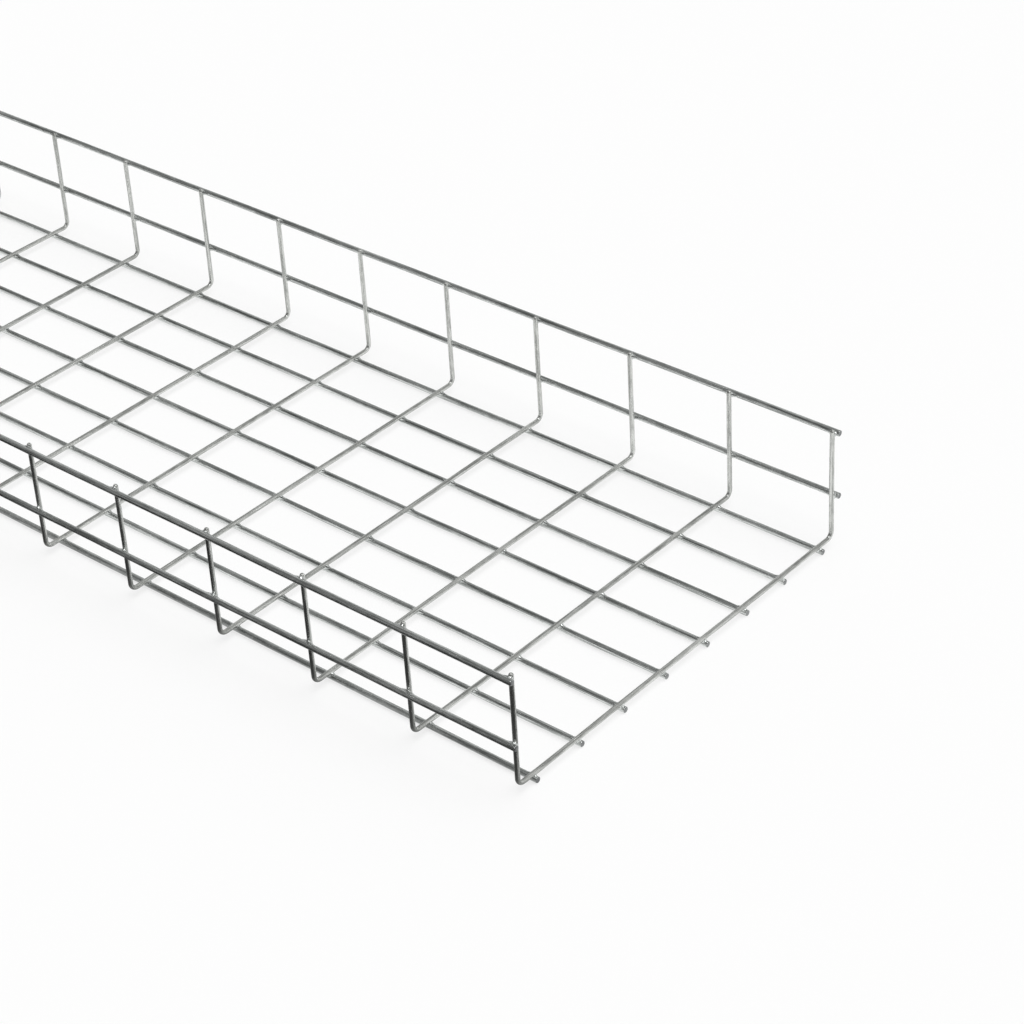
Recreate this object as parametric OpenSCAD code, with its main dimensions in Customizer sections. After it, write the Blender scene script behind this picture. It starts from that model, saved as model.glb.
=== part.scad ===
// Wire mesh cable basket: a three-metre length of welded wire cable tray.
// Straight longitudinal wires lie outside, U-bent cross wires lie inside them,
// and every crossing is a resistance weld where one wire is pressed a little
// into the other.
//
// Frame: X along the tray, Y across it, Z up. The origin is at the middle of
// the length and of the width, at the underside of the floor wires.

/* [Mesh] */
// Distance from one cross wire to the next
cross_pitch = 100; // [40:5:150]
// Distance from one floor wire to the next
floor_pitch = 50; // [40:1:60]
// From the outermost floor wire to the corner line of the side wall
side_gap = 17; // [14:0.5:25]
// How far the longitudinal wires run past the end cross wires
end_overhang = 4.5; // [3:0.5:20]

/* [Side walls] */
// Height of the middle side wire above the floor run of the cross wires
mid_wire_h = 38; // [20:1:60]
// Height of the top side wire above the floor run of the cross wires
top_wire_h = 96; // [70:1:110]
// How far a cross wire's tip stands above the top side wire's centre
tip_rise = 4; // [3.5:0.5:8]

/* [Wire] */
// Diameter of the longitudinal wires
long_d = 5; // [4:0.5:6]
// Diameter of the cross wires
cross_d = 4; // [3.5:0.5:5]
// How deep the welds press the wires into each other
weld_sink = 0.4; // [0.2:0.1:0.6]
// Bend radius of the cross wires, at the wire's centre line
bend_r = 6; // [5:0.5:8]
// Length of the dressed edge on a cross wire's tip
tip_chamfer = 0.7; // [0.3:0.1:1]

/* [Hidden] */
floor_count = 8;
cross_count = 31;
facets = 32;

// axis-to-axis distance of two welded wires
weld_off = (long_d + cross_d) / 2 - weld_sink;
// heights of the two layers' centre lines
long_z = long_d / 2;
cross_z = long_z + weld_off;
// length of a longitudinal wire
tray_len = (cross_count - 1) * cross_pitch + 2 * end_overhang;
// corner line of the side wall, where floor run and upright would meet
corner_y = (floor_count - 1) * floor_pitch / 2 + side_gap;
// half of the straight floor run, between the two bends
straight_half = corner_y - bend_r;
// length of an upright from the end of its bend to its tip
upright_len = top_wire_h + tip_rise - bend_r;

// centre of floor wire i, counted from the left side wall
function floor_y(i) = (i - 1 - (floor_count - 1) / 2) * floor_pitch;
// position along the tray of cross wire k, counted from the +X end
function cross_x(k) = ((cross_count - 1) / 2 - (k - 1)) * cross_pitch;
// centre of a side wire, welded on the outside of the uprights at height h
side_y = corner_y + weld_off;
function side_z(h) = cross_z + h;

// a straight longitudinal wire with sheared ends, its axis along X
module long_wire() {
    rotate([0, 90, 0])
        cylinder(d = long_d, h = tray_len, center = true, $fn = facets);
}

// a wire of the floor
module floor_wire(i) {
    color([0.55, 0.58, 0.57])
        translate([0, floor_y(i), long_z]) long_wire();
}

// a wire on the outside of a side wall: side is -1 for left and 1 for right
module side_wire(side, h) {
    color([0.50, 0.53, 0.53])
        translate([0, side * side_y, side_z(h)]) long_wire();
}

// one bend and upright of a cross wire, on the right-hand side
module cross_wire_side() {
    translate([0, straight_half, bend_r])
        rotate([90, 0, 90]) rotate([0, 0, -90])
            rotate_extrude(angle = 90, $fn = 4 * facets)
                translate([bend_r, 0]) circle(d = cross_d, $fn = facets);
    translate([0, corner_y, bend_r]) {
        cylinder(d = cross_d, h = upright_len - tip_chamfer, $fn = facets);
        translate([0, 0, upright_len - tip_chamfer])
            cylinder(d1 = cross_d, d2 = cross_d - 2 * tip_chamfer,
                     h = tip_chamfer, $fn = facets);
    }
}

// a U-bent cross wire: floor run, two bends and two uprights
module cross_wire(k) {
    color([0.70, 0.72, 0.70])
        translate([cross_x(k), 0, cross_z]) {
            rotate([90, 0, 0])
                cylinder(d = cross_d, h = 2 * straight_half, center = true,
                         $fn = facets);
            cross_wire_side();
            mirror([0, 1, 0]) cross_wire_side();
        }
}

floor_wire(1);  // floor_wire_1
floor_wire(2);  // floor_wire_2
floor_wire(3);  // floor_wire_3
floor_wire(4);  // floor_wire_4
floor_wire(5);  // floor_wire_5
floor_wire(6);  // floor_wire_6
floor_wire(7);  // floor_wire_7
floor_wire(8);  // floor_wire_8
side_wire(-1, mid_wire_h);  // left_mid_wire
side_wire(-1, top_wire_h);  // left_top_wire
side_wire(1, mid_wire_h);  // right_mid_wire
side_wire(1, top_wire_h);  // right_top_wire
cross_wire(1);  // cross_wire_01
cross_wire(2);  // cross_wire_02
cross_wire(3);  // cross_wire_03
cross_wire(4);  // cross_wire_04
cross_wire(5);  // cross_wire_05
cross_wire(6);  // cross_wire_06
cross_wire(7);  // cross_wire_07
cross_wire(8);  // cross_wire_08
cross_wire(9);  // cross_wire_09
cross_wire(10);  // cross_wire_10
cross_wire(11);  // cross_wire_11
cross_wire(12);  // cross_wire_12
cross_wire(13);  // cross_wire_13
cross_wire(14);  // cross_wire_14
cross_wire(15);  // cross_wire_15
cross_wire(16);  // cross_wire_16
cross_wire(17);  // cross_wire_17
cross_wire(18);  // cross_wire_18
cross_wire(19);  // cross_wire_19
cross_wire(20);  // cross_wire_20
cross_wire(21);  // cross_wire_21
cross_wire(22);  // cross_wire_22
cross_wire(23);  // cross_wire_23
cross_wire(24);  // cross_wire_24
cross_wire(25);  // cross_wire_25
cross_wire(26);  // cross_wire_26
cross_wire(27);  // cross_wire_27
cross_wire(28);  // cross_wire_28
cross_wire(29);  // cross_wire_29
cross_wire(30);  // cross_wire_30
cross_wire(31);  // cross_wire_31
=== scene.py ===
# Looks of the wire mesh cable basket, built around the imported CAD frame.
import math

import bpy
import numpy as np
from mathutils import Matrix, Vector


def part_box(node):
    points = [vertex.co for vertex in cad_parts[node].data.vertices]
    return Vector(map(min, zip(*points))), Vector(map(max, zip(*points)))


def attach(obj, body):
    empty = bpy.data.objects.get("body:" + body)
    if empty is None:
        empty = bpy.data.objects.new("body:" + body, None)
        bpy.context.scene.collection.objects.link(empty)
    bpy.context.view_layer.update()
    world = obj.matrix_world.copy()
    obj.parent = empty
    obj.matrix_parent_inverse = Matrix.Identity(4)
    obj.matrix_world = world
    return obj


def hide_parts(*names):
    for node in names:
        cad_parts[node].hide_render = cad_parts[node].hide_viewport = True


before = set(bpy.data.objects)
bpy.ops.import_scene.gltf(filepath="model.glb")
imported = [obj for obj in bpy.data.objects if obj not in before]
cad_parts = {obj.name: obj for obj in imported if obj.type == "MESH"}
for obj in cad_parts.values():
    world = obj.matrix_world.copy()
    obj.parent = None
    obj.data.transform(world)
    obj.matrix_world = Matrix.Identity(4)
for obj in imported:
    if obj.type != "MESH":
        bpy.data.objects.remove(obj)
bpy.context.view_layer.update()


# --------------------------------------------------------------------------
# camera: the photograph's viewing angle
# --------------------------------------------------------------------------
CAM_POS = Vector((2.54286, -1.32357, 1.27741))
CAM_RIGHT = Vector((0.7604641, 0.6473753, -0.0509856))
CAM_DOWN = Vector((0.3306415, -0.4535812, -0.8276112))
CAM_FWD = Vector((-0.5589011, 0.6125107, -0.5589814))
FOCAL_PX = 2803.42

cam_data = bpy.data.cameras.new("camera")
cam_data.sensor_fit = "HORIZONTAL"
cam_data.sensor_width = 36.0
cam_data.lens = 36.0 * FOCAL_PX / 1024.0
cam_data.clip_start = 0.05
cam_data.clip_end = 200.0
cam_data.dof.use_dof = False
cam = bpy.data.objects.new("camera", cam_data)
bpy.context.scene.collection.objects.link(cam)
rot = Matrix((CAM_RIGHT, -CAM_DOWN, -CAM_FWD)).transposed()
cam.matrix_world = Matrix.Translation(CAM_POS) @ rot.to_4x4()
bpy.context.scene.camera = cam

# --------------------------------------------------------------------------
# sizes read from the frame
# --------------------------------------------------------------------------
FLOOR = [f"floor_wire_{i}" for i in range(1, 9)]
SIDE = ["left_mid_wire", "left_top_wire", "right_mid_wire", "right_top_wire"]
CROSS = [f"cross_wire_{k:02d}" for k in range(1, 32)]


def mid(node):
    a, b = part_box(node)
    return [(a[i] + b[i]) / 2 for i in range(3)]


R_LONG = 0.0025
R_CROSS = 0.0020
X_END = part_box("floor_wire_1")[1][0]
CROSS_X = [mid(n)[0] for n in CROSS]
CORNER_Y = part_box("cross_wire_01")[1][1] - R_CROSS
CROSS_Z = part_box("cross_wire_01")[0][2] + R_CROSS
TIP_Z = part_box("cross_wire_01")[1][2]
BEND_R = 0.006

# the axis of each longitudinal wire: (name, y, z)
LONGS = [(n, mid(n)[1], mid(n)[2]) for n in FLOOR + SIDE]
AXIS_GAP = CROSS_Z - LONGS[0][2]


# --------------------------------------------------------------------------
# smooth one-dimensional noise, seeded
# --------------------------------------------------------------------------
class Wave:
    """A sum of a few sines with seeded phases: a gentle wander along a wire."""

    def __init__(self, seed, lengths, amps):
        g = np.random.default_rng(seed)
        self.k = [2 * math.pi / (L * g.uniform(0.85, 1.15)) for L in lengths]
        self.p = g.uniform(0, 2 * math.pi, len(lengths))
        self.a = amps

    def __call__(self, s):
        s = np.asarray(s, float)
        return sum(a * np.sin(k * s + p) for a, k, p in zip(self.a, self.k, self.p))


# --------------------------------------------------------------------------
# tube builder
# --------------------------------------------------------------------------
def tube(name, path, side0, radius, along, sides, mats, cap_mat=1, cap_rings=None):
    """A closed tube. path: (n,3) centres; side0: (n,3) unit vectors normal to the
    path, the direction of angle 0; radius: (n,) ; along: (n,) metres for UV.
    The end caps are fans round a centre point."""
    path = np.asarray(path, float)
    n = len(path)
    tang = np.gradient(path, axis=0)
    tang /= np.linalg.norm(tang, axis=1)[:, None]
    s0 = side0 - (side0 * tang).sum(1)[:, None] * tang
    s0 /= np.linalg.norm(s0, axis=1)[:, None]
    s1 = np.cross(tang, s0)
    a = np.linspace(0, 2 * math.pi, sides, endpoint=False)
    radius = np.asarray(radius, float)
    if radius.ndim == 1:
        radius = np.repeat(radius[:, None], sides, 1)
    V = (
        path[:, None, :]
        + radius[:, :, None] * (np.cos(a)[None, :, None] * s0[:, None, :] + np.sin(a)[None, :, None] * s1[:, None, :])
    ).reshape(-1, 3)
    c0, c1 = len(V), len(V) + 1
    V = np.vstack([V, path[0], path[-1]])
    faces, uvs, fm = [], [], []
    for i in range(n - 1):
        u0, u1 = along[i], along[i + 1]
        for j in range(sides):
            k = (j + 1) % sides
            faces.append((i * sides + j, i * sides + k, (i + 1) * sides + k, (i + 1) * sides + j))
            v0, v1 = j / sides, (j + 1) / sides
            uvs += [(u0, v0), (u0, v1), (u1, v1), (u1, v0)]
            fm.append(0)
    cr = cap_rings or 0
    for i in list(range(cr)) + list(range(n - 1 - cr, n - 1)):
        for j in range(sides):
            fm[i * sides + j] = cap_mat
    for j in range(sides):
        k = (j + 1) % sides
        faces.append((c0, k, j))
        uvs += [(along[0], 0.5), (along[0], (j + 1) / sides), (along[0], j / sides)]
        fm.append(cap_mat)
        b = (n - 1) * sides
        faces.append((c1, b + j, b + k))
        uvs += [(along[-1], 0.5), (along[-1], j / sides), (along[-1], (j + 1) / sides)]
        fm.append(cap_mat)
    me = bpy.data.meshes.new(name)
    me.from_pydata(V.tolist(), [], faces)
    uv = me.uv_layers.new(name="UVMap")
    uv.data.foreach_set("uv", np.array(uvs, np.float32).ravel())
    me.polygons.foreach_set("material_index", np.array(fm, np.int32))
    me.polygons.foreach_set("use_smooth", np.ones(len(faces), bool))
    for m in mats:
        me.materials.append(m)
    me.validate()
    me.update()
    ob = bpy.data.objects.new(name, me)
    bpy.context.scene.collection.objects.link(ob)
    return ob


# --------------------------------------------------------------------------
# materials
# --------------------------------------------------------------------------
def new_mat(name):
    m = bpy.data.materials.new(name)
    m.use_nodes = True
    nt = m.node_tree
    bsdf = nt.nodes["Principled BSDF"]
    return m, nt, bsdf


def math_node(nt, op, a, b=None, c=None):
    n = nt.nodes.new("ShaderNodeMath")
    n.operation = op
    for i, v in enumerate((a, b, c)):
        if v is None:
            continue
        if isinstance(v, (int, float)):
            n.inputs[i].default_value = v
        else:
            nt.links.new(v, n.inputs[i])
    return n.outputs[0]


def zinc(name, dark, light, rough, streak=1.0, mottle=0.22, seed=0.0):
    """Zinc-coated drawn wire: fine lines along the wire, faint bands of drawing
    marks, soft blotches of the coating. UV x is metres along the wire and UV y
    the turn round it."""
    m, nt, b = new_mat(name)
    tc = nt.nodes.new("ShaderNodeTexCoord")
    sep = nt.nodes.new("ShaderNodeSeparateXYZ")
    nt.links.new(tc.outputs["UV"], sep.inputs[0])
    ang = math_node(nt, "MULTIPLY", sep.outputs[1], 2 * math.pi)
    cx = math_node(nt, "COSINE", ang)
    sy = math_node(nt, "SINE", ang)

    def wrapped(lengthwise, around, shift):
        """Coordinates that close round the wire, with their own scale each way."""
        comb = nt.nodes.new("ShaderNodeCombineXYZ")
        nt.links.new(math_node(nt, "MULTIPLY_ADD", cx, around, shift), comb.inputs[0])
        nt.links.new(math_node(nt, "MULTIPLY_ADD", sy, around, shift * 1.7), comb.inputs[1])
        nt.links.new(math_node(nt, "MULTIPLY_ADD", sep.outputs[0], lengthwise, shift * 3.1), comb.inputs[2])
        return comb.outputs[0]

    def noise(vec, scale, detail, rough_=0.5):
        n = nt.nodes.new("ShaderNodeTexNoise")
        n.inputs["Scale"].default_value = scale
        n.inputs["Detail"].default_value = detail
        n.inputs["Roughness"].default_value = rough_
        nt.links.new(vec, n.inputs["Vector"])
        return n.outputs["Fac"]

    lines = noise(wrapped(12.0, 1.8, seed + 3.0), 1.0, 4.0, 0.62)
    fine = noise(wrapped(24.0, 8.0, seed + 11.0), 1.0, 2.0, 0.6)
    blotch = noise(wrapped(90.0, 1.1, seed + 23.0), 1.0, 4.0, 0.62)
    long_var = noise(wrapped(9.0, 0.5, seed + 41.0), 1.0, 2.0, 0.5)

    mixv = math_node(nt, "MULTIPLY_ADD", lines, 0.62, math_node(nt, "MULTIPLY", blotch, mottle))
    mixv = math_node(nt, "MULTIPLY_ADD", long_var, 0.38 - mottle, mixv)
    ramp = nt.nodes.new("ShaderNodeValToRGB")
    ramp.color_ramp.elements[0].position = 0.42
    ramp.color_ramp.elements[0].color = (*dark, 1)
    ramp.color_ramp.elements[1].position = 0.58
    ramp.color_ramp.elements[1].color = (*light, 1)
    nt.links.new(mixv, ramp.inputs[0])
    # small dull specks in the coating
    speck = nt.nodes.new("ShaderNodeMapRange")
    speck.inputs["From Min"].default_value = 0.64
    speck.inputs["From Max"].default_value = 0.74
    speck.inputs["To Min"].default_value = 1.0
    speck.inputs["To Max"].default_value = 0.62
    nt.links.new(noise(wrapped(240.0, 2.4, seed + 57.0), 1.0, 2.0, 0.5), speck.inputs["Value"])
    dull = nt.nodes.new("ShaderNodeVectorMath")
    dull.operation = "SCALE"
    nt.links.new(ramp.outputs[0], dull.inputs[0])
    nt.links.new(speck.outputs["Result"], dull.inputs["Scale"])
    nt.links.new(dull.outputs[0], b.inputs["Base Color"])
    r = math_node(nt, "MULTIPLY_ADD", lines, 0.22, rough - 0.11)
    r = math_node(nt, "MULTIPLY_ADD", blotch, 0.12, math_node(nt, "SUBTRACT", r, 0.06))
    nt.links.new(r, b.inputs["Roughness"])
    b.inputs["Metallic"].default_value = 1.0
    h = math_node(nt, "MULTIPLY_ADD", lines, 1.0 * streak, math_node(nt, "MULTIPLY", fine, 0.45 * streak))
    bump = nt.nodes.new("ShaderNodeBump")
    bump.inputs["Strength"].default_value = 0.5
    bump.inputs["Distance"].default_value = 0.0009
    nt.links.new(h, bump.inputs["Height"])
    nt.links.new(bump.outputs[0], b.inputs["Normal"])
    return m


def sheared(name):
    """The cut end of a wire: bare, slightly torn steel with a smeared zinc edge."""
    m, nt, b = new_mat(name)
    tc = nt.nodes.new("ShaderNodeTexCoord")
    n = nt.nodes.new("ShaderNodeTexNoise")
    n.inputs["Scale"].default_value = 900.0
    n.inputs["Detail"].default_value = 5.0
    mp = nt.nodes.new("ShaderNodeMapping")
    mp.inputs["Scale"].default_value = (1.0, 1.0, 0.25)
    nt.links.new(tc.outputs["Object"], mp.inputs[0])
    nt.links.new(mp.outputs[0], n.inputs["Vector"])
    ramp = nt.nodes.new("ShaderNodeValToRGB")
    ramp.color_ramp.elements[0].position = 0.3
    ramp.color_ramp.elements[0].color = (0.16, 0.165, 0.17, 1)
    ramp.color_ramp.elements[1].position = 0.7
    ramp.color_ramp.elements[1].color = (0.42, 0.43, 0.43, 1)
    nt.links.new(n.outputs["Fac"], ramp.inputs[0])
    nt.links.new(ramp.outputs[0], b.inputs["Base Color"])
    b.inputs["Metallic"].default_value = 1.0
    nt.links.new(math_node(nt, "MULTIPLY_ADD", n.outputs["Fac"], 0.3, 0.3), b.inputs["Roughness"])
    bump = nt.nodes.new("ShaderNodeBump")
    bump.inputs["Strength"].default_value = 0.6
    bump.inputs["Distance"].default_value = 0.0002
    nt.links.new(n.outputs["Fac"], bump.inputs["Height"])
    nt.links.new(bump.outputs[0], b.inputs["Normal"])
    return m


def weld_mat(name):
    """Zinc over the squeezed-out weld metal: brighter, with a lumpy skin."""
    m, nt, b = new_mat(name)
    tc = nt.nodes.new("ShaderNodeTexCoord")
    n = nt.nodes.new("ShaderNodeTexNoise")
    n.inputs["Scale"].default_value = 700.0
    n.inputs["Detail"].default_value = 4.0
    nt.links.new(tc.outputs["Object"], n.inputs["Vector"])
    n2 = nt.nodes.new("ShaderNodeTexNoise")
    n2.inputs["Scale"].default_value = 45.0
    n2.inputs["Detail"].default_value = 3.0
    nt.links.new(tc.outputs["Object"], n2.inputs["Vector"])
    ramp = nt.nodes.new("ShaderNodeValToRGB")
    ramp.color_ramp.elements[0].position = 0.32
    ramp.color_ramp.elements[0].color = (0.52, 0.54, 0.53, 1)
    ramp.color_ramp.elements[1].position = 0.62
    ramp.color_ramp.elements[1].color = (0.80, 0.82, 0.81, 1)
    nt.links.new(math_node(nt, "MULTIPLY_ADD", n.outputs["Fac"], 0.5, math_node(nt, "MULTIPLY", n2.outputs["Fac"], 0.5)), ramp.inputs[0])
    nt.links.new(ramp.outputs[0], b.inputs["Base Color"])
    b.inputs["Metallic"].default_value = 1.0
    nt.links.new(math_node(nt, "MULTIPLY_ADD", n.outputs["Fac"], 0.22, 0.15), b.inputs["Roughness"])
    bump = nt.nodes.new("ShaderNodeBump")
    bump.inputs["Strength"].default_value = 0.5
    bump.inputs["Distance"].default_value = 0.00015
    nt.links.new(n.outputs["Fac"], bump.inputs["Height"])
    nt.links.new(bump.outputs[0], b.inputs["Normal"])
    return m


M_LONG = zinc("zinc_longitudinal_wire", (0.34, 0.354, 0.348), (0.86, 0.878, 0.870), 0.19)
M_CROSS = zinc("zinc_cross_wire", (0.38, 0.386, 0.373), (0.80, 0.809, 0.787), 0.25, streak=0.8, mottle=0.34, seed=5.0)
M_CUT = sheared("sheared_wire_end")
M_WELD = weld_mat("zinc_over_weld")


def place(ob, slot, *nodes):
    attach(ob, "root")
    if nodes:
        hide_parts(*nodes)
    return ob


# --------------------------------------------------------------------------
# longitudinal wires
# --------------------------------------------------------------------------
def rings_long(x_end):
    """Ring positions: every 12.5 mm, and close together at the sheared ends."""
    inner = np.arange(-x_end + 0.006, x_end - 0.006 + 1e-9, (2 * x_end - 0.012) / 238)
    ends = np.array([0.0, 0.00012, 0.00035, 0.0008, 0.002])
    return np.concatenate([-x_end + ends, inner, (x_end - ends)[::-1]])


for idx, (name, y, z) in enumerate(LONGS):
    g = np.random.default_rng(100 + idx)
    xs = rings_long(X_END)
    e0, e1 = g.uniform(-0.0006, 0.0003, 2)
    half = X_END
    # each end is sheared a little short or long of the others
    t = (xs + half) / (2 * half)
    px = xs + e1 * t**40 - e0 * (1 - t) ** 40
    wy = Wave(200 + idx, (0.9, 0.23, 0.11), (0.00022, 0.00010, 0.00004))
    wz = Wave(300 + idx, (1.1, 0.27, 0.12), (0.00014, 0.00006, 0.00003))
    path = np.c_[px, y + wy(px), z + (np.abs(wz(px)) if "floor" in name else wz(px))]
    rad = R_LONG * np.ones(len(xs))
    rad[[0, -1]] = R_LONG * 0.80
    rad[[1, -2]] = R_LONG * 0.93
    rad[[2, -3]] = R_LONG * 0.99
    rad = rad[:, None] * (1 + 0.006 * np.sin(2 * np.linspace(0, 2 * math.pi, 24, endpoint=False) + g.uniform(0, 6)))[None, :]
    ob = tube(name + "_drawn", path, np.tile([0.0, 0.0, 1.0], (len(xs), 1)), rad, px - px[0] + 7.3 * idx, 24, (M_LONG, M_CUT), cap_rings=1)
    place(ob, "longitudinal_wire", name)


# --------------------------------------------------------------------------
# cross wires
# --------------------------------------------------------------------------
def cross_profile():
    """Half of the U from the middle of the floor run to the tip: points (y, z),
    distance along, and radius."""
    pts = []
    straight = CORNER_Y - BEND_R
    for y in np.linspace(0, straight, 17):
        pts.append((y, CROSS_Z, R_CROSS))
    for a in np.linspace(0, math.pi / 2, 13)[1:]:
        # the wire thins by a few percent where it is bent
        f = 1 - 0.035 * math.sin(2 * a)
        pts.append((straight + BEND_R * math.sin(a), CROSS_Z + BEND_R * (1 - math.cos(a)), R_CROSS * f))
    top = TIP_Z - R_CROSS * 0.95
    for z in np.linspace(CROSS_Z + BEND_R, top, 11)[1:]:
        pts.append((CORNER_Y, z, R_CROSS))
    # dressed, rounded tip
    for a in (0.25, 0.5, 0.75, 0.9, 1.05, 1.2, 1.33):
        pts.append((CORNER_Y, top + R_CROSS * 0.95 * math.sin(a) / math.sin(1.33), R_CROSS * math.cos(a) ** 0.8))
    return np.array(pts)


HALF = cross_profile()
MID_Z = LONGS[8][2]


def cross_path(idx):
    left = HALF[::-1].copy()
    left[:, 0] *= -1
    full = np.vstack([left, HALF[1:]])
    g = np.random.default_rng(500 + idx)
    y, z, r = full[:, 0], full[:, 1], full[:, 2]
    d = np.r_[0, np.cumsum(np.hypot(np.diff(y), np.diff(z)))]
    wx = Wave(600 + idx, (0.31, 0.13), (0.00016, 0.00007))
    # the uprights stand a little out of true along the tray
    lean = g.normal(0, 0.0035, 2)
    up = np.clip(z - (CROSS_Z + BEND_R), 0, None)
    kink = g.normal(0, 0.006, 2)
    low = np.clip(z, CROSS_Z + BEND_R, MID_Z) - MID_Z
    x = CROSS_X[idx] + wx(d) + up * np.where(y < 0, lean[0], lean[1])
    x = x + np.where(y < 0, kink[0], kink[1]) * (low + (MID_Z - CROSS_Z - BEND_R)) * 0.5
    return np.c_[x, y, z], d, r, full


def side_vectors(n):
    return np.tile([1.0, 0.0, 0.0], (n, 1))


CROSS_AT = {}
for idx, name in enumerate(CROSS):
    P, d, r, full = cross_path(idx)
    CROSS_AT[idx] = (P, full)
    ob = tube(name + "_bent", P, side_vectors(len(P)), r, d + 3.7 * idx, 20, (M_CROSS, M_CROSS))
    place(ob, "cross_wire", name)


def cross_x_at(idx, y, z):
    """Where cross wire idx runs at a point (y, z) of its U."""
    P, full = CROSS_AT[idx]
    i = np.argmin((full[:, 0] - y) ** 2 + (full[:, 1] - z) ** 2)
    j = i + 1 if i + 1 < len(P) else i - 1
    if abs(full[j, 0] - y) + abs(full[j, 1] - z) > abs(full[i - 1, 0] - y) + abs(full[i - 1, 1] - z):
        j = i - 1
    a, b = full[i, :2], full[j, :2]
    L = float(((b - a) ** 2).sum())
    t = float(np.clip(((np.array([y, z]) - a) * (b - a)).sum() / L, 0, 1)) if L > 0 else 0.0
    return float(P[i, 0] * (1 - t) + P[j, 0] * t)


# --------------------------------------------------------------------------
# welds: the squeezed-out fillet where two wires cross
# --------------------------------------------------------------------------
NU, NV = 24, 13


def sphere_dirs():
    d = [(0.0, 0.0, 1.0)]
    for i in range(1, NV):
        th = math.pi * i / NV
        for j in range(NU):
            ph = 2 * math.pi * j / NU
            d.append((math.sin(th) * math.cos(ph), math.sin(th) * math.sin(ph), math.cos(th)))
    d.append((0.0, 0.0, -1.0))
    return np.array(d)


def sphere_faces():
    f = []
    for j in range(NU):
        f.append((0, 1 + j, 1 + (j + 1) % NU))
    for i in range(NV - 2):
        for j in range(NU):
            k = (j + 1) % NU
            a, b = 1 + i * NU, 1 + (i + 1) * NU
            f.append((a + j, b + j, b + k, a + k))
    last = 1 + (NV - 1) * NU
    b = 1 + (NV - 2) * NU
    for j in range(NU):
        f.append((last, b + (j + 1) % NU, b + j))
    return f


DIRS, SFACES = sphere_dirs(), sphere_faces()


def smooth_union(p, k, ru, rl):
    """Distance to two crossed cylinders joined by a fillet: the upper along local
    y with radius ru, the lower along local x with radius rl."""
    zu = ru - WELD_SINK / 2
    zl = -(rl - WELD_SINK / 2)
    d1 = np.hypot(p[..., 0], p[..., 2] - zu) - ru
    d2 = np.hypot(p[..., 1], p[..., 2] - zl) - rl
    h = np.clip(0.5 + 0.5 * (d2 - d1) / k, 0, 1)
    return d2 * (1 - h) + d1 * h - k * h * (1 - h)


WELD_SINK = R_CROSS + R_LONG - AXIS_GAP


def bead(seed):
    """One weld as a star-shaped closed mesh round the contact point, local frame
    x along the longitudinal wire, y along the cross wire, z from one to the other."""
    g = np.random.default_rng(seed)
    k = g.uniform(0.0011, 0.0017)
    cap = g.uniform(0.0027, 0.0031)
    rr = np.linspace(0.0002, cap, 60)
    p = DIRS[:, None, :] * rr[None, :, None]
    p = p + np.array([g.normal(0, 0.00012), g.normal(0, 0.00012), 0.0])
    dist = smooth_union(p, k, R_CROSS, R_LONG)
    inside = dist < 0
    last = np.where(inside.all(1), len(rr) - 1, np.argmin(inside, 1) - 1)
    last = np.clip(last, 0, len(rr) - 1)
    r = rr[last]
    nxt = np.clip(last + 1, 0, len(rr) - 1)
    d0 = dist[np.arange(len(r)), last]
    d1 = dist[np.arange(len(r)), nxt]
    t = np.where((nxt > last) & (d1 > d0), -d0 / np.maximum(d1 - d0, 1e-9), 0)
    r = r + np.clip(t, 0, 1) * (rr[nxt] - r)
    # lumps of squeezed-out metal, round the waist only
    w = np.exp(-((DIRS[:, 2] / 0.45) ** 2))
    ph = np.arctan2(DIRS[:, 1], DIRS[:, 0])
    lump = sum(a * np.sin(m * ph + o) for a, m, o in zip(g.uniform(0.02, 0.08, 4), (2, 3, 5, 7), g.uniform(0, 6.28, 4)))
    r = r * (1 + w * lump) + 0.00006
    return DIRS * r[:, None]


# the pointed fillets that the weld draws out along the longitudinal wire on both
# sides: each runs down from the cross wire's flank to a tip on the lower wire
LU, LV = 20, 6


def leaf(seed):
    g = np.random.default_rng(seed)
    reach = g.uniform(0.0076, 0.0094, 2)
    phi0 = g.uniform(0.95, 1.20)
    h0 = g.uniform(0.0023, 0.0030)
    skew = g.uniform(-0.10, 0.10)
    top, low = [], []
    for i in range(LU + 1):
        u = 2 * i / LU - 1
        L = reach[0] if u < 0 else reach[1]
        t = 1 - abs(u)
        phi = phi0 * t**0.75 + 0.02
        for j in range(LV + 1):
            v = 2 * j / LV - 1
            al = v * phi + skew * t
            h = 0.00022 * t**0.5 * (1 - abs(v) ** 4) + h0 * t**2.0 * (1 - abs(v) ** 1.6) - 0.00004
            for rho, out in ((R_LONG + h, top), (R_LONG - 0.0003, low)):
                out.append((L * u, rho * math.sin(al), -(R_LONG - WELD_SINK / 2) + rho * math.cos(al)))
    return np.array(top + low)


def leaf_faces():
    n = (LU + 1) * (LV + 1)
    f = []
    at = lambda i, j: i * (LV + 1) + j
    for i in range(LU):
        for j in range(LV):
            q = (at(i, j), at(i + 1, j), at(i + 1, j + 1), at(i, j + 1))
            f.append(q)
            f.append(tuple(n + k for k in q[::-1]))
    for i in range(LU):
        f.append((at(i, 0), n + at(i, 0), n + at(i + 1, 0), at(i + 1, 0)))
        f.append((at(i + 1, LV), n + at(i + 1, LV), n + at(i, LV), at(i, LV)))
    for j in range(LV):
        f.append((at(0, j + 1), n + at(0, j + 1), n + at(0, j), at(0, j)))
        f.append((at(LU, j), n + at(LU, j), n + at(LU, j + 1), at(LU, j + 1)))
    return f


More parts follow.
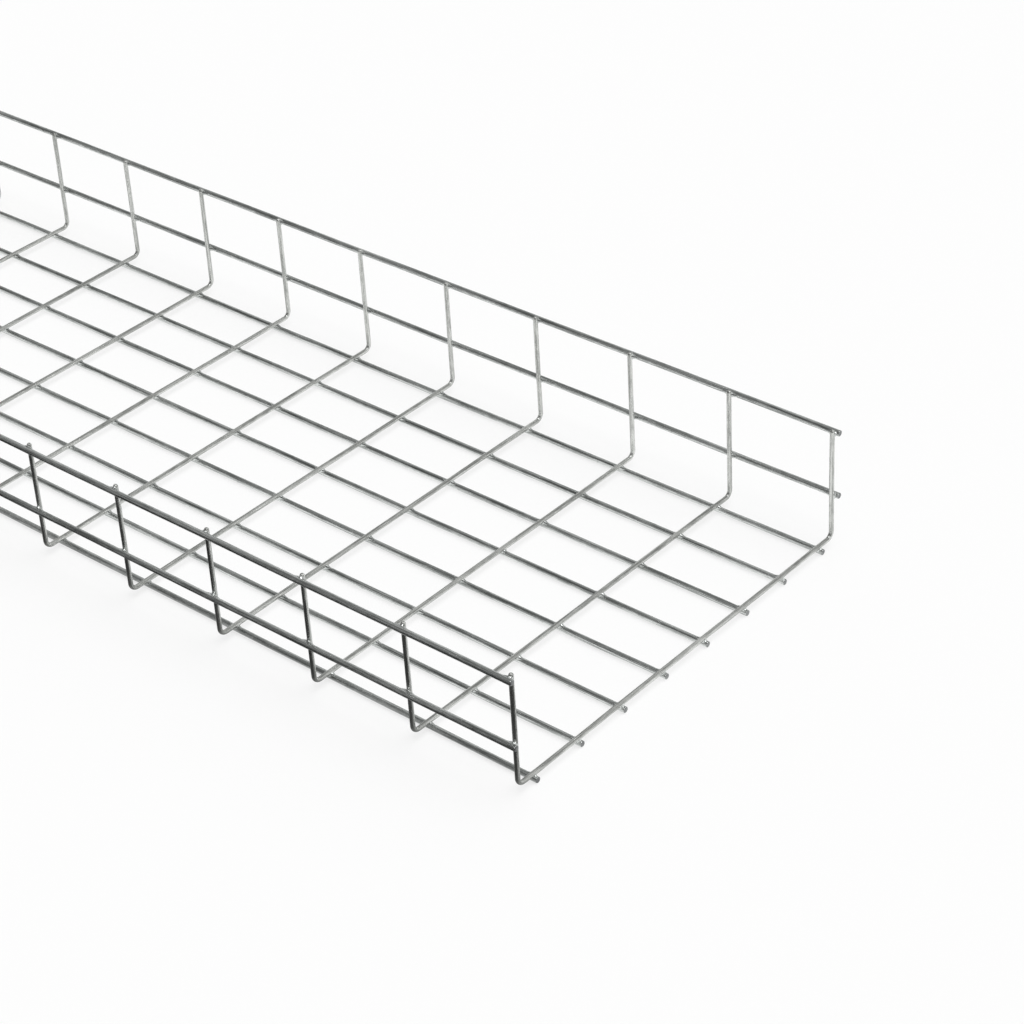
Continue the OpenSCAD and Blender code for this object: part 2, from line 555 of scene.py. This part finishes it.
LFACES = leaf_faces()
LEAVES = [leaf(1500 + i) for i in range(24)]
END_ROOM = X_END - CROSS_X[0] - 0.0012
BEADS = [bead(900 + i) for i in range(24)]
g = np.random.default_rng(77)
for idx, name in enumerate(CROSS):
    V, F, count = [], [], 0
    for li, (lname, y, z) in enumerate(LONGS):
        flip0 = bool(g.random() < 0.5)
        shapes = ((BEADS[int(g.integers(len(BEADS)))], SFACES), (LEAVES[int(g.integers(len(LEAVES)))], LFACES))
        for pts, faces in shapes:
            b = pts.copy()
            flip = flip0
            if flip:
                b[:, 0] *= -1
            # at the tray's ends nothing reaches past the cut
            room = END_ROOM
            if idx == 0:
                out = b[:, 0] > 0
            elif idx == len(CROSS) - 1:
                out = b[:, 0] < 0
            else:
                out = np.zeros(len(b), bool)
            if out.any():
                b[out, 0] *= min(1.0, room / np.abs(b[out, 0]).max())
            if "floor" in lname:
                # cross wire above: local z is up
                c = np.array([cross_x_at(idx, y, CROSS_Z), y, z + R_LONG - WELD_SINK / 2])
                W = b
            else:
                # the cross wire is inboard of the side wire: local z points inboard, local y up
                s = 1.0 if y > 0 else -1.0
                c = np.array([cross_x_at(idx, s * CORNER_Y, z), y - s * (R_LONG - WELD_SINK / 2), z])
                W = np.c_[b[:, 0], -s * b[:, 2], b[:, 1]]
                # a right-handed turn for y > 0, a mirror for y < 0
                if s < 0:
                    flip = not flip
            V.append(W + c)
            F += [tuple(count + i for i in (f[::-1] if flip else f)) for f in faces]
            count += len(pts)
    V = np.vstack(V)
    me = bpy.data.meshes.new(name + "_welds")
    me.from_pydata(V.tolist(), [], F)
    me.materials.append(M_WELD)
    me.polygons.foreach_set("use_smooth", np.ones(len(F), bool))
    me.validate()
    me.update()
    ob = bpy.data.objects.new(name + "_welds", me)
    bpy.context.scene.collection.objects.link(ob)
    place(ob, "cross_wire")

# --------------------------------------------------------------------------
# stage: pale floor, soft light
# --------------------------------------------------------------------------
sc = bpy.context.scene
sc.view_settings.view_transform = "Standard"
sc.view_settings.look = "None"
sc.view_settings.exposure = 0.0
sc.view_settings.gamma = 1.0


def plane(name, x0, x1, y0, y1, z, mat):
    me = bpy.data.meshes.new(name)
    me.from_pydata([(x0, y0, z), (x1, y0, z), (x1, y1, z), (x0, y1, z)], [], [(0, 1, 2, 3)])
    me.materials.append(mat)
    ob = bpy.data.objects.new(name, me)
    sc.collection.objects.link(ob)
    return ob


def stage_mat(name):
    """A bare material with its output ready for an emission mix."""
    m = bpy.data.materials.new(name)
    m.use_nodes = True
    nt = m.node_tree
    nt.nodes.clear()
    out = nt.nodes.new("ShaderNodeOutputMaterial")
    m.cycles.emission_sampling = "NONE"
    return m, nt, out


def only(ob, *kinds):
    """Leave a stage object visible to the named kinds of ray alone."""
    for k in ("camera", "diffuse", "glossy", "transmission", "volume_scatter", "shadow"):
        setattr(ob, "visible_" + k, k in kinds)


# the pale floor: partly self-lit, so the shadows stay faint
m, nt, out = stage_mat("studio_floor")
dif = nt.nodes.new("ShaderNodeBsdfDiffuse")
dif.inputs["Color"].default_value = (0.88, 0.88, 0.88, 1)
emi = nt.nodes.new("ShaderNodeEmission")
emi.inputs["Color"].default_value = (1.0, 1.0, 1.0, 1)
emi.inputs["Strength"].default_value = 1.0
mix = nt.nodes.new("ShaderNodeMixShader")
mix.inputs[0].default_value = 0.72
nt.links.new(dif.outputs[0], mix.inputs[1])
nt.links.new(emi.outputs[0], mix.inputs[2])
nt.links.new(mix.outputs[0], out.inputs[0])
floor = plane("studio_floor", -40, 40, -40, 40, -0.0002, m)
only(floor, "camera", "diffuse", "shadow")

# painted reflection, seen only in glossy rays: what the metal sees below it, a white table with no contact shadow whose
# front edge runs just inside the near wall, and painted shade, the dark room in front of it that darkens the near
# wall's reflections
m, nt, out = stage_mat("painted_reflection_below")
tc = nt.nodes.new("ShaderNodeTexCoord")
sep = nt.nodes.new("ShaderNodeSeparateXYZ")
nt.links.new(tc.outputs["Object"], sep.inputs[0])
# the edge turns back past the end of the tray
past = math_node(nt, "MAXIMUM", math_node(nt, "SUBTRACT", sep.outputs[0], X_END + 0.03), 0.0)
past = math_node(nt, "MINIMUM", past, 0.10)
edge = math_node(nt, "SUBTRACT", sep.outputs[1], past)
mr = nt.nodes.new("ShaderNodeMapRange")
mr.interpolation_type = "SMOOTHSTEP"
mr.inputs["From Min"].default_value = -0.215
mr.inputs["From Max"].default_value = -0.145
mr.inputs["To Min"].default_value = 0.0
mr.inputs["To Max"].default_value = 1.0
nt.links.new(edge, mr.inputs["Value"])
# painted shade (near black) in front of the near wall, painted reflection of white under the tray
ramp = nt.nodes.new("ShaderNodeValToRGB")
ramp.color_ramp.elements[0].color = (0.055, 0.056, 0.055, 1)
ramp.color_ramp.elements[1].color = (0.92, 0.927, 0.92, 1)
nt.links.new(mr.outputs["Result"], ramp.inputs[0])
emi = nt.nodes.new("ShaderNodeEmission")
nt.links.new(ramp.outputs[0], emi.inputs["Color"])
nt.links.new(emi.outputs[0], out.inputs[0])
# the painted reflection plane: no camera, diffuse or shadow ray sees it, only glossy rays
painted_reflection_plane = plane("painted_reflection_below", -40, 40, -40, 40, -0.0004, m)
only(painted_reflection_plane, "glossy")

# a pale backdrop behind everything, for low cameras
m, nt, out = stage_mat("studio_backdrop")
emi = nt.nodes.new("ShaderNodeEmission")
emi.inputs["Color"].default_value = (0.983, 0.984, 0.983, 1)
nt.links.new(emi.outputs[0], out.inputs[0])
n = 48
ring = [(38 * math.cos(2 * math.pi * i / n), 38 * math.sin(2 * math.pi * i / n)) for i in range(n)]
vs = [(x, y, -0.0002) for x, y in ring] + [(x, y, 30.0) for x, y in ring] + [(0, 0, 30.0)]
fs = [(n + i, n + (i + 1) % n, (i + 1) % n, i) for i in range(n)] + [(n + i, n + (i + 1) % n, 2 * n) for i in range(n)]
me = bpy.data.meshes.new("studio_backdrop")
me.from_pydata(vs, [], fs)
me.materials.append(m)
drop = bpy.data.objects.new("studio_backdrop", me)
sc.collection.objects.link(drop)
only(drop, "camera")


def area(name, loc, size_xy, power, glossy=True, target=None):
    L = bpy.data.lights.new(name, "AREA")
    L.shape = "RECTANGLE"
    L.size, L.size_y = size_xy
    L.energy = power
    o = bpy.data.objects.new(name, L)
    sc.collection.objects.link(o)
    o.location = loc
    if target is not None:
        d = Vector(target) - Vector(loc)
        o.rotation_euler = d.to_track_quat("-Z", "Y").to_euler()
    o.visible_glossy = glossy
    return o


key = area("key_softbox", (2.75, -0.1, 3.0), (2.0, 1.6), 40.0, target=(1.2, 0.0, 0.0))
key.visible_diffuse = False

# one wide, even sky light for the floor's faint shadows
L = bpy.data.lights.new("sky_light", "SUN")
L.energy = 2.55
L.angle = math.radians(75)
sky = bpy.data.objects.new("sky_light", L)
sc.collection.objects.link(sky)
sky.rotation_euler = (math.radians(-14), math.radians(16), 0)
sky.visible_glossy = False

# the room round the table: dim in front, lighter at the back
world = bpy.data.worlds.new("studio")
sc.world = world
world.use_nodes = True
wn = world.node_tree
wn.nodes.clear()
out = wn.nodes.new("ShaderNodeOutputWorld")
bg = wn.nodes.new("ShaderNodeBackground")
tcw = wn.nodes.new("ShaderNodeTexCoord")
dot = wn.nodes.new("ShaderNodeVectorMath")
dot.operation = "DOT_PRODUCT"
dot.inputs[1].default_value = Vector((0.2, 0.95, 0.1)).normalized()
wn.links.new(tcw.outputs["Generated"], dot.inputs[0])
rw = wn.nodes.new("ShaderNodeValToRGB")
rw.color_ramp.interpolation = "EASE"
el = rw.color_ramp.elements
el[0].position, el[0].color = 0.36, (0.135, 0.137, 0.135, 1)
el[1].position, el[1].color = 0.62, (0.34, 0.345, 0.34, 1)
e3 = el.new(0.80)
e3.color = (0.46, 0.465, 0.458, 1)
mw = wn.nodes.new("ShaderNodeMath")
mw.operation = "MULTIPLY_ADD"
mw.inputs[1].default_value = 0.5
mw.inputs[2].default_value = 0.5
wn.links.new(dot.outputs["Value"], mw.inputs[0])
wn.links.new(mw.outputs[0], rw.inputs[0])
# and paler towards the horizon
sz = wn.nodes.new("ShaderNodeSeparateXYZ")
wn.links.new(tcw.outputs["Generated"], sz.inputs[0])
low = math_node(wn, "SUBTRACT", 1.0, math_node(wn, "ABSOLUTE", sz.outputs[2]))
low = math_node(wn, "MULTIPLY", math_node(wn, "POWER", low, 3.0), 0.34)
add = wn.nodes.new("ShaderNodeMix")
add.data_type = "RGBA"
add.blend_type = "ADD"
add.inputs["Factor"].default_value = 1.0
wn.links.new(rw.outputs[0], add.inputs[6])
wn.links.new(low, add.inputs[7])
wn.links.new(add.outputs[2], bg.inputs["Color"])
bg.inputs["Strength"].default_value = 1.0
wn.links.new(bg.outputs[0], out.inputs[0])
